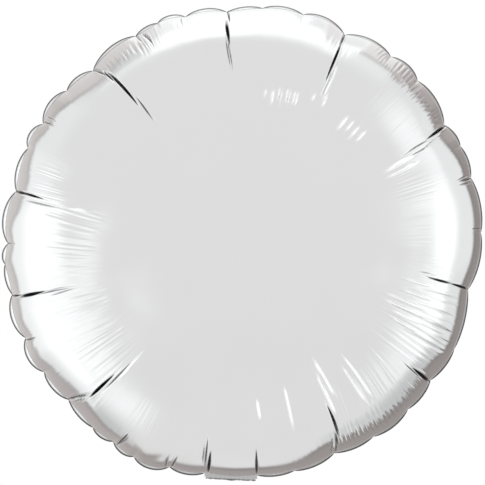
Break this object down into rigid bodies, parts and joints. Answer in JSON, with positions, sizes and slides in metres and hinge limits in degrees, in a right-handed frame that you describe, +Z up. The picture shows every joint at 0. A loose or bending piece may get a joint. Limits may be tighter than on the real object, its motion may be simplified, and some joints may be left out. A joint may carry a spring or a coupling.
{
  "type": "round foil balloon",
  "caption": "Blown-up round foil balloon: domed front and back film panels, a scalloped welded rim and a folding filling tail with a valve sleeve.",
  "frame": {"origin": "centre of the balloon, on the plane of its welded rim, where the surrounding air holds it up", "axes": "-Y out of the front panel, +Y out of the back panel, +Z up, away from the filling tail, +X to the right seen from the front"},
  "size_m": [0.3511, 0.2054, 0.3482],
  "materials": {
    "silver_foil": "mirror-like metallised film, drawn tight, creased at the rim",
    "silver_foil_back": "mirror-like metallised film, drawn tight, creased at the rim",
    "welded_foil": "metallised film dulled by a fine heat-weld pattern",
    "clear_film": "thin clear polyethylene film, slightly milky"
  },
  "bodies": {
    "envelope": {"front_panel": "silver_foil", "back_panel": "silver_foil_back", "rim_weld": "welded_foil", "throat": "silver_foil"},
    "tail": {"tail_front_ply": "silver_foil", "tail_back_ply": "silver_foil", "tail_weld_left": "welded_foil", "tail_weld_right": "welded_foil", "valve_sleeve": "clear_film"}
  },
  "joints": [
    {"name": "tail_fold", "type": "hinge", "parent": "envelope", "child": "tail", "pos_m": [-0.00828, 0, -0.1724], "axis": [-0.9988, 0, 0.048], "range_deg": [0, 190]}
  ]
}
